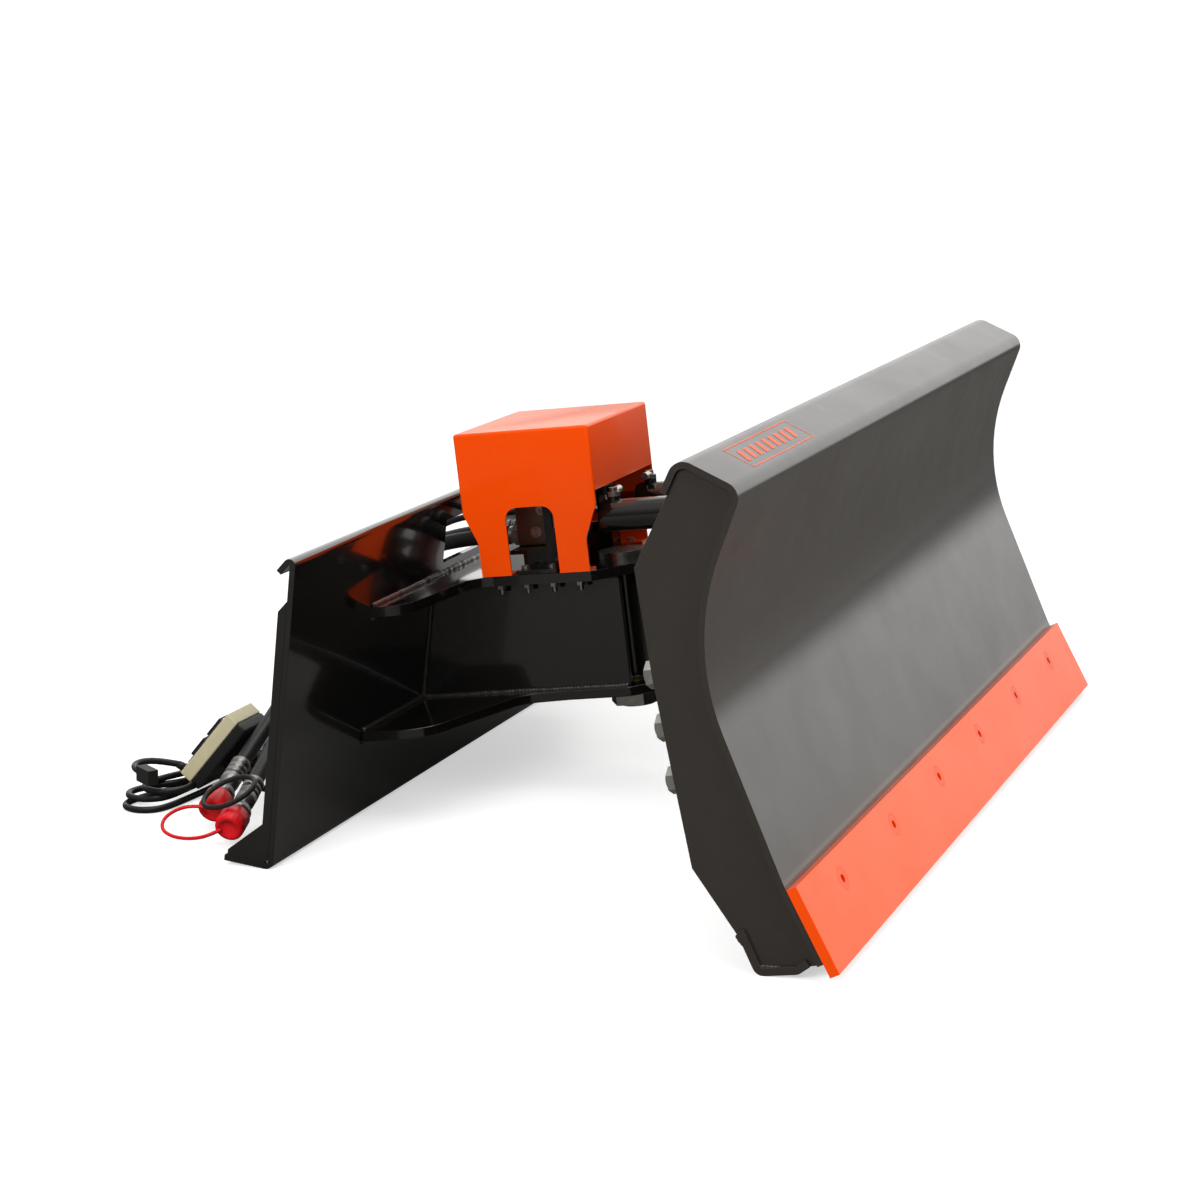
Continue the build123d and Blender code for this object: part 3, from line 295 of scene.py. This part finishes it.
def bead_mesh(bm, points, radius, seed):
    """One rippled weld bead along a polyline."""
    points = resample(points, BEAD_STEP)
    turns = [2 * math.pi * k / BEAD_SIDES for k in range(BEAD_SIDES)]
    rings = []
    for i, p in enumerate(points):
        ahead = points[min(i + 1, len(points) - 1)] - points[max(i - 1, 0)]
        ahead.normalize()
        side = ahead.orthogonal().normalized()
        up = ahead.cross(side)
        lump = noise.noise(Vector((i * LUMP_PACE, seed, 0))) * LUMP_DEPTH
        ripple = abs(math.sin(i * RIPPLE_PACE)) * RIPPLE_DEPTH + lump
        r = radius * (BEAD_SIZE + ripple)
        wander = side * noise.noise(Vector((i * WANDER_PACE, seed, 7))) * radius * WANDER_DEPTH
        rings.append([bm.verts.new(p + wander + (side * math.cos(t) + up * math.sin(t)) * r)
                      for t in turns])
    tube(bm, rings)


def welds(name, body, slot, runs, radius):
    """A piece of weld beads, one along each run."""
    bm = bmesh.new()
    for seed, run in enumerate(runs):
        bead_mesh(bm, run, radius, seed * 3.7)
    for face in bm.faces:
        face.smooth = True
    bmesh.ops.recalc_face_normals(bm, faces=bm.faces)
    return add_piece(name, as_mesh(bm, name), body, slot, material=WELD)


def lathe(name, profile, steps, place, body, slot, flute=None):
    """A turned piece: profile of (radius, height) pairs in millimetres about local Z."""
    bm = bmesh.new()
    rings = []
    for r, z in profile:
        ring = []
        for k in range(steps):
            t = 2 * math.pi * k / steps
            radius = r + (flute(t, z) if flute else 0)
            spot = Vector((radius * math.cos(t), radius * math.sin(t), z)) * MM
            ring.append(bm.verts.new(spot))
        rings.append(ring)
    tube(bm, rings)
    shade(bm, TURNED_ANGLE)
    bmesh.ops.recalc_face_normals(bm, faces=bm.faces)
    mesh = as_mesh(bm, name)
    mesh.transform(place)
    return add_piece(name, mesh, body, slot)


def aimed(start, target):
    """A matrix at start (mm) whose Z axis points at target."""
    a, b = Vector(start) * MM, Vector(target) * MM
    return Matrix.Translation(a) @ (b - a).to_track_quat("Z", "Y").to_matrix().to_4x4()


# ---------------------------------------------------------------- cords
def spline(name, points, radius, slot, body="frame"):
    """A round cord on a smooth NURBS line through the control points (mm)."""
    data = bpy.data.curves.new(name, "CURVE")
    data.dimensions = "3D"
    line = data.splines.new("NURBS")
    line.points.add(len(points) - 1)
    for spot, p in zip(line.points, points):
        spot.co = (*(c * MM for c in p), 1)
    line.order_u = 3
    line.use_endpoint_u = True
    data.resolution_u = 10
    data.bevel_depth = radius * MM
    data.bevel_resolution = 5
    data.use_fill_caps = True
    data.materials.append(MATERIALS[slot])
    obj = bpy.data.objects.new(name, data)
    bpy.context.scene.collection.objects.link(obj)
    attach(obj, body)
    return obj


def line_length(obj):
    """Length of a curve's own line."""
    flat = obj.data.copy()
    flat.bevel_depth = 0
    temp = bpy.data.objects.new("measure", flat)
    mesh = bpy.data.meshes.new_from_object(temp)
    ends = [[mesh.vertices[v].co for v in e.vertices] for e in mesh.edges]
    total = sum((a - b).length for a, b in ends)
    bpy.data.objects.remove(temp)
    bpy.data.meshes.remove(mesh)
    bpy.data.curves.remove(flat)
    return total


SUPPLY = [(-253, -30, 357.2), (-325, -30, 348.3), (-410, -34, 322), (-470, -70, 262),
          (-498, -135, 190), (-503, -215, 138), (-495, -300, 108), (-484, -375, 82),
          (-477, -440, 54)]
RETURN = [(-253, 30, 357.2), (-325, 30, 348.3), (-410, 24, 324), (-477, -18, 272),
          (-512, -88, 211), (-528, -165, 162), (-528, -245, 122), (-533, -315, 86),
          (-534, -372, 58)]
SUPPLY_CAP, RETURN_CAP = (-468, -526, 25), (-530, -456, 25)
STRAP = [(-526, -468, 41), (-546, -470, 42), (-566, -479, 37), (-578, -494, 27),
         (-572, -511, 17), (-552, -521, 12), (-528, -525, 12), (-506, -526, 16),
         (-492, -523, 21), (-480, -516, 27)]
LEAD_IN = [(-251.7, 48, 379.4), (-322, 50, 370.8), (-384, 60, 356), (-434, 82, 326),
           (-478, 98, 286), (-514, 106, 236), (-544, 106, 180), (-568, 104, 128),
           (-586, 92, 84), (-598, 62, 54)]
LEAD_OUT = [(-566, -194, 9), (-541, -208, 6), (-530, -234, 6), (-540, -258, 9),
            (-560, -272, 20), (-577.4, -275, 35.3)]
PLUG = [(-668, -282, 41.5), (-690, -302, 50), (-708, -326, 52), (-702, -352, 50),
        (-681, -366, 49.5)]
PLUG_REAR = (-648, -269, 27)
HOSE_RADIUS, CABLE_RADIUS, STRAP_RADIUS = 11, 4.75, 2.5

HANK_CENTRE, HANK_TURN = Vector((-637, -157)), math.radians(80.6)
BED, SECOND, THIRD, TOP = 5, 14.6, 24.2, 33.5
FOLD_SIZE, FOLD_SWELL = 31, 1.06
FOLD_ANGLES = (-90, -45, 0, 45, 90)


def on_hank(s, t, z):
    """Frame point, in millimetres, from along, across and up in the hank."""
    along = Vector((math.cos(HANK_TURN), math.sin(HANK_TURN)))
    across = Vector((along.y, -along.x))
    spot = HANK_CENTRE + along * s + across * t
    return (spot.x, spot.y, z)


def fold(end, centre, reach, low, high):
    """Control points of a fold at one end of the hank (-1 or 1), climbing from low to high."""
    out = []
    for k, angle in enumerate(FOLD_ANGLES):
        a = math.radians(angle)
        s = end * (reach - FOLD_SIZE + FOLD_SIZE * FOLD_SWELL * math.cos(a))
        t = centre - end * FOLD_SIZE * FOLD_SWELL * math.sin(a)
        out.append((s, t, low + (high - low) * k / (len(FOLD_ANGLES) - 1)))
    return out


def level(height, *spots):
    """Points of one pass that lies level in the hank."""
    return [(s, t, height) for s, t in spots]


def hank_points():
    """The cable from the top of the hank's far end, round its folds, up to the last layer."""
    lay = [(182, 4, 41), (140, 5, 27), (100, 5, 11)]
    lay += level(BED, (60, 3), (0, 2), (-60, -3), (-119, -12), (-175, -25))
    lay += fold(-1, 2, 246, BED, BED)
    lay += level(BED, (-165, 33), (-119, 30), (-60, 25), (0, 22), (60, 25), (120, 30))
    lay += [(165, 33, 6)]
    lay += fold(1, 2, 228, 7, SECOND)
    lay += level(SECOND, (150, -25), (100, -12), (50, -1), (0, 6), (-60, 1), (-119, -4),
                 (-160, -28))
    lay += fold(-1, -8, 226, SECOND, SECOND)
    lay += level(SECOND, (-155, 22), (-119, 19), (-60, 17), (0, 18), (60, 21), (110, 25))
    lay += [(150, 28, 15.5)]
    lay += fold(1, -2, 213, 17, THIRD)
    lay += level(THIRD, (140, -24), (90, -12), (45, -1), (0, 4), (-60, -3), (-119, -14),
                 (-150, -22))
    lay += fold(-1, 9, 211, THIRD, THIRD)
    lay += [(-150, 34, 23)]
    lay += level(THIRD, (-119, 9), (-60, 14), (0, 20), (50, 24), (100, 30))
    lay += [(140, 36, 25)]
    lay += fold(1, 6, 199, 27, TOP)
    lay += [(125, -16, 33.8), (90, -2, 34), (60, 8, 34), (35, 18, 35), (14, 31, 33),
            (-3, 43, 22)]
    return [on_hank(*p) for p in lay]


supply = spline("supply_hose_run", SUPPLY, HOSE_RADIUS, "hose_rubber")
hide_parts("supply_hose")
back_hose = spline("return_hose_run", RETURN, HOSE_RADIUS, "hose_rubber")
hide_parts("return_hose")
harness = spline("control_cable", LEAD_IN + hank_points() + LEAD_OUT, CABLE_RADIUS,
                 "cable_jacket")
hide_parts("harness_lead", "harness_hank", "control_lead")
power = spline("power_lead", PLUG, CABLE_RADIUS, "cable_jacket")
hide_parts("plug_lead")
strap = spline("cap_strap_loop", STRAP, STRAP_RADIUS, "red_plastic")
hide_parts("cap_strap")


# ---------------------------------------------------------------- carried CAD pieces
FINE = 0.0004
EDGES = {"attach_plate": 0.0012, "attach_gussets": 0.0010, "frame_top_plate": 0.0016,
         "frame_bottom_plate": 0.0016, "frame_side_plates": 0.0010, "cylinder_lugs": 0.0010,
         "swing_head": 0.0012, "valve_bracket": 0.0008, "moldboard": 0.0011,
         "end_plates": 0.0010, "blade_frame": 0.0015, "blade_mount": 0.0010,
         "tilt_lug": 0.0010, "wing_bars": 0.0008, "skid_shoes": 0.0012,
         "cutting_edge": 0.0009, "valve_cover": 0.0006, "plow_bolts": 0.0005,
         "wing_bolts": 0.0011, "kingpin": 0.0010, "tilt_pin": 0.0010, "head_pins": 0.0006,
         "deck_screws": 0.0005}
DONE = {"supply_hose", "return_hose", "harness_lead", "harness_hank", "control_lead",
        "plug_lead", "cap_strap", "couplers", "dust_caps"}
for node in sorted(NODES):
    if node not in DONE:
        carry(node, EDGES.get(node, FINE))

# ---------------------------------------------------------------- weld beads
PLATE_GAP = 0.0005
CLIMB = 0.02
TOP_CORNER_X, TOP_CORNER_Z = 0.2405, 0.55


def mirrored(run):
    """A run on the other side of the blade's middle."""
    return [Vector((p.x, -p.y, p.z)) for p in run]


def both_sides(*runs):
    """Runs, and the same runs mirrored."""
    return list(runs) + [mirrored(r) for r in runs]


def seam(*points):
    """A run through points in millimetres."""
    return [Vector(p) * MM for p in points]


def end_plate_seam():
    """The end plate's outline from the cutting edge up the curve and over the top."""
    corners = face_outline("end_plates", (0, -1, 0))
    corners = [Vector((p.x, -abs(p.y) - PLATE_GAP, p.z)) for p in corners]
    low = max(range(len(corners)), key=lambda i: corners[i].x)
    corners = corners[low:] + corners[:low]
    if corners[1].z < corners[0].z + CLIMB:
        corners = [corners[0]] + corners[:0:-1]
    top = next(i for i, p in enumerate(corners) if p.x < TOP_CORNER_X and p.z > TOP_CORNER_Z)
    return corners[:top + 1]


welds("end_plate_welds", "blade", "blade_paint", both_sides(end_plate_seam()), 0.0036)
foot = seam((318, -757, 46), (323, -757, 38), (346, -757, 10), (374, -757, 10), (398, -757, 14))
welds("shoe_welds", "blade", "blade_paint", both_sides(foot), 0.0032)
deck_runs = [seam((-342.5, 319, 303.5), (-342.5, -319, 303.5)),
             seam((-344.5, 319, 287), (-344.5, 107, 287)),
             seam((-344.5, -319, 287), (-344.5, -107, 287)),
             seam((-360, 319, 126.5), (-360, -319, 126.5)),
             seam((-361.5, 319, 110.5), (-361.5, -319, 110.5))]
welds("deck_welds", "frame", "black_paint", deck_runs, 0.0042)
web_runs = both_sides(seam((-344, -105.5, 288), (-69, -87.5, 321)),
                      seam((-360, -107.5, 126), (-51, -87.5, 163.5)),
                      seam((-344, -105, 288), (-360, -107, 126)))
welds("web_welds", "frame", "black_paint", web_runs, 0.0036)
mount_run = seam((270, -121, 384), (150, -121, 369), (173, -121, 182), (328, -121, 200))
welds("blade_mount_welds", "blade", "blade_paint", both_sides(mount_run), 0.0032)
cheek_run = seam((146, -48.5, 196), (128, -48.5, 337))
welds("swing_head_welds", "swing_head", "black_paint", both_sides(cheek_run), 0.0034)

# ---------------------------------------------------------------- marking on the blade's top
MARK_START, MARK_LENGTH, MARK_LIFT = -0.6500, 0.2530, 0.0003
FRAME_LINE = 0.0016
BAR_COUNT, BAR_LEAN, BAR_MARGIN, BAR_SHARE = 9, 0.012, 0.011, 0.46


def marking():
    """A plain framed row of slanted bars in the paint's orange, with no lettering."""
    flange = sorted(face_outline("moldboard", (0.4, 0, 0.92), 0.99), key=lambda p: p.x)
    edge_rear = Vector((flange[0].x, 0, flange[0].z))
    edge_front = Vector((flange[-1].x, 0, flange[-1].z))
    rear, front = edge_rear.lerp(edge_front, 0.06), edge_rear.lerp(edge_front, 0.94)
    down = (front - rear).normalized()
    up = Vector((-down.z, 0, down.x))
    width, length, line = (front - rear).length, MARK_LENGTH, FRAME_LINE
    bm = bmesh.new()

    def strip(*corners):
        spots = [rear + down * v + Vector((0, MARK_START + u, 0)) + up * MARK_LIFT
                 for u, v in corners]
        bm.faces.new([bm.verts.new(p) for p in spots])

    strip((0, 0), (length, 0), (length, line), (0, line))
    strip((0, width - line), (length, width - line), (length, width), (0, width))
    strip((0, line), (line, line), (line, width - line), (0, width - line))
    strip((length - line, line), (length, line), (length, width - line),
          (length - line, width - line))
    pitch = (length - 2 * BAR_MARGIN - BAR_LEAN) / BAR_COUNT
    for k in range(BAR_COUNT):
        a = BAR_MARGIN + k * pitch
        b = a + pitch * BAR_SHARE
        strip((a, width - BAR_MARGIN), (b, width - BAR_MARGIN), (b + BAR_LEAN, BAR_MARGIN),
              (a + BAR_LEAN, BAR_MARGIN))
    bmesh.ops.recalc_face_normals(bm, faces=bm.faces)
    film = Paint("marking_film", (0.86, 0.085, 0.012), 0.42)
    film.tint(film.ramp(film.noise(300.0, 3.0), 0.60, 0.72, 0.0, 0.5), (0.10, 0.06, 0.05))
    film.bump(film.noise(500.0, 1.0), 0.00005, 0.3)
    add_piece("blade_marking", as_mesh(bm, "blade_marking"), "blade", "orange_bolt",
              material=film.done())


marking()

# ---------------------------------------------------------------- hose ends
FERRULE = [(0, 0), (12.4, 0), (14, 1), (14, 6), (13.2, 7), (13.2, 10), (14, 11), (14, 16),
           (13.2, 17), (13.2, 20), (14, 21), (14, 29), (12.5, 31), (11.3, 32), (0, 32)]
for label, route in (("supply", SUPPLY), ("return", RETURN)):
    for end, base, ahead in (("port", route[0], route[1]), ("coupler", route[-1], route[-2])):
        lathe(f"{label}_{end}_ferrule", FERRULE, 48, aimed(base, ahead), "frame", "dark_steel")

# ---------------------------------------------------------------- couplers and dust caps
COUPLER = [(0, 1.2), (13.2, 1.2), (14, 2), (14, 16), (13.4, 17), (13.4, 27), (12.4, 28),
           (12.4, 30), (15, 31), (15, 34), (17, 35), (17, 45), (15, 46), (15, 55), (14, 56),
           (14, 62), (0, 62)]
DUST_CAP = [(15.4, 48), (19, 48), (20, 49), (20, 75), (19.4, 77.5), (17, 79.4), (13, 80),
            (12.6, 79), (0, 79)]
BOOT = [(0, 0), (8.2, 0), (8.6, 2), (8.2, 9), (7.2, 9.8), (7.2, 11.4), (7.6, 12.4), (6.8, 17),
        (6.0, 17.8), (6.0, 19.2), (6.3, 20.2), (5.4, 28), (0, 28)]


def fluted_sleeve(t, z):
    """Waves round the coupler's sleeve."""
    return 0.5 * math.cos(24 * t) if 34.5 < z < 45.5 else 0.0


def grip_grooves(t, z):
    """Grooves down the side of a dust cap."""
    return -0.7 * max(0.0, math.cos(18 * t)) if 52 < z < 77 else 0.0


coupler_parts, cap_parts = [], []
for label, route, cap in (("supply", SUPPLY, SUPPLY_CAP), ("return", RETURN, RETURN_CAP)):
    place = aimed(route[-1], cap)
    coupler_parts.append(lathe(f"{label}_coupler", COUPLER, 64, place, "frame", "dark_steel",
                               fluted_sleeve))
    cap_parts.append(lathe(f"{label}_dust_cap", DUST_CAP, 72, place, "frame", "red_plastic",
                           grip_grooves))
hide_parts("couplers")
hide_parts("dust_caps")
boot = lathe("plug_lead_boot", BOOT, 40, aimed(PLUG_REAR, PLUG[0]), "frame", "cable_jacket")

# ---------------------------------------------------------------- camera, stage and light
scene = bpy.context.scene
camera = bpy.data.objects.new("camera", bpy.data.cameras.new("camera"))
scene.collection.objects.link(camera)
camera.data.lens = 88.2
camera.data.sensor_width = 36
camera.data.clip_end = 60
azimuth, elevation = math.radians(19.95), math.radians(11.88)
camera.location = (1.288, -3.900, 1.137)
look = Vector((-math.sin(azimuth) * math.cos(elevation),
               math.cos(azimuth) * math.cos(elevation),
               -math.sin(elevation)))
camera.rotation_euler = look.to_track_quat("-Z", "Y").to_euler()
scene.camera = camera

FLOOR_SIZE = 9
CONCRETE, PAPER = (0.14, 0.135, 0.125), (0.70, 0.70, 0.70)
PAPER_GLOW = 0.55
SIDE_LIGHT, TOP_LIGHT, WALL_LIGHT = 0.10, 0.45, 1.05
BACKDROP = 1.05
AIR = (1, 0.99, 0.97)

bpy.ops.mesh.primitive_plane_add(size=FLOOR_SIZE, location=(0, 0, 0))
floor = bpy.context.object
floor.name = "floor"


def pale_floor():
    """White paper to the camera, grey concrete to reflections and to bounced light."""
    ground = Paint("pale_floor", CONCRETE, 0.6)
    ground.vary(ground.noise(3.0), 0.05)
    ground.set(Specular_IOR_Level=0.1)
    material = ground.done()
    add, join = ground.tree.nodes.new, ground.tree.links.new
    paper, glow = add("ShaderNodeBsdfDiffuse"), add("ShaderNodeEmission")
    both, pick = add("ShaderNodeAddShader"), add("ShaderNodeMixShader")
    paper.inputs["Color"].default_value = (*PAPER, 1)
    glow.inputs["Strength"].default_value = PAPER_GLOW
    join(paper.outputs[0], both.inputs[0])
    join(glow.outputs[0], both.inputs[1])
    join(add("ShaderNodeLightPath").outputs["Is Camera Ray"], pick.inputs[0])
    join(ground.shader.outputs[0], pick.inputs[1])
    join(both.outputs[0], pick.inputs[2])
    join(pick.outputs[0], ground.tree.nodes["Material Output"].inputs["Surface"])
    return material


floor.data.materials.append(pale_floor())


def studio_sky(tree):
    """A hall bright overhead, dark at the sides and white at the back; a white backdrop."""
    add, join = tree.nodes.new, tree.links.new
    split = add("ShaderNodeSeparateXYZ")
    join(add("ShaderNodeTexCoord").outputs["Generated"], split.inputs[0])

    def rise(axis, low, high, start, end):
        node = add("ShaderNodeMapRange")
        node.interpolation_type = "SMOOTHSTEP"
        ends = (("From Min", low), ("From Max", high), ("To Min", start), ("To Max", end))
        for key, number in ends:
            node.inputs[key].default_value = number
        join(split.outputs[axis], node.inputs["Value"])
        return node

    height = rise("Z", 0.10, 0.75, SIDE_LIGHT, TOP_LIGHT)
    wall = rise("Y", 0.25, 0.85, 0.0, WALL_LIGHT)
    above = rise("Z", -0.06, 0.03, 0.0, 1.0)
    lit = add("ShaderNodeMath")
    lit.operation = "MULTIPLY_ADD"
    join(wall.outputs[0], lit.inputs[0])
    join(above.outputs[0], lit.inputs[1])
    join(height.outputs[0], lit.inputs[2])
    seen = add("ShaderNodeMix")
    join(add("ShaderNodeLightPath").outputs["Is Camera Ray"], seen.inputs["Factor"])
    join(lit.outputs[0], seen.inputs["A"])
    seen.inputs["B"].default_value = BACKDROP
    join(seen.outputs["Result"], tree.nodes["Background"].inputs["Strength"])
    tree.nodes["Background"].inputs["Color"].default_value = (*AIR, 1)


world = bpy.data.worlds.new("studio")
scene.world = world
world.use_nodes = True
studio_sky(world.node_tree)
scene.view_settings.view_transform = "Standard"


def area(name, place, target, size, power, in_reflections=True):
    """A rectangular light at a place, facing a target, in metres and watts."""
    light = bpy.data.lights.new(name, "AREA")
    light.shape = "RECTANGLE"
    light.size, light.size_y = size
    light.energy = power
    obj = bpy.data.objects.new(name, light)
    scene.collection.objects.link(obj)
    obj.location = place
    obj.rotation_euler = (Vector(target) - Vector(place)).to_track_quat("-Z", "Y").to_euler()
    obj.visible_glossy = in_reflections


MIDDLE = (0, 0, 0.3)
area("front", (-0.6, -4.2, 2.2), MIDDLE, (2.4, 1.6), 135, in_reflections=False)
area("side", (4.4, -1.2, 1.8), MIDDLE, (1.6, 2.4), 135, in_reflections=False)
area("overhead", (0.4, -0.4, 4.2), MIDDLE, (3.4, 3.4), 60)

# ---------------------------------------------------------------- cord lengths, measured and not kept
line_length(supply)
line_length(back_hose)
line_length(harness)
line_length(power)
line_length(strap)
